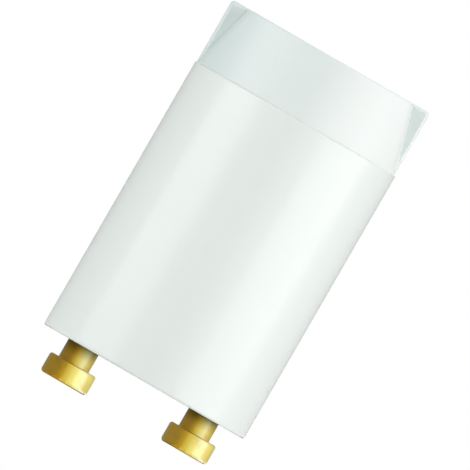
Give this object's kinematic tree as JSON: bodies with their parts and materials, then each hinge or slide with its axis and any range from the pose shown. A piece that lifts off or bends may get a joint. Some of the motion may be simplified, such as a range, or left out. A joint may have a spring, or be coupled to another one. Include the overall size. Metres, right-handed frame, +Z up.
{
  "type": "fluorescent lamp starter",
  "caption": "Plug-in fluorescent lamp starter: a white moulded can with a grip crown, a glow switch and capacitor inside, and brass mushroom-headed contact pins below",
  "frame": {"origin": "on the can's axis, level with the end faces of the two contact pins", "axes": "+Z is up from the pins to the grip crown, X runs through both pins, and Y faces the broad sides between them"},
  "size_m": [0.0212, 0.0212, 0.0382],
  "materials": {
    "housing_plastic": "satin",
    "plate_plastic": "matte",
    "pin_brass": "polished",
    "bulb_glass": "gloss",
    "bimetal_steel": "satin",
    "lead_wire": "satin",
    "capacitor_coat": "gloss"
  },
  "bodies": {
    "root": {"housing": "housing_plastic", "base_plate": "plate_plastic", "contact_pin_left": "pin_brass", "contact_pin_right": "pin_brass", "glow_tube_bulb": "bulb_glass", "bimetal_strip": "bimetal_steel", "bimetal_lead_wire": "lead_wire", "fixed_electrode_wire": "lead_wire", "capacitor_body": "capacitor_coat", "capacitor_lead_left": "lead_wire", "capacitor_lead_right": "lead_wire"}
  },
  "joints": []
}
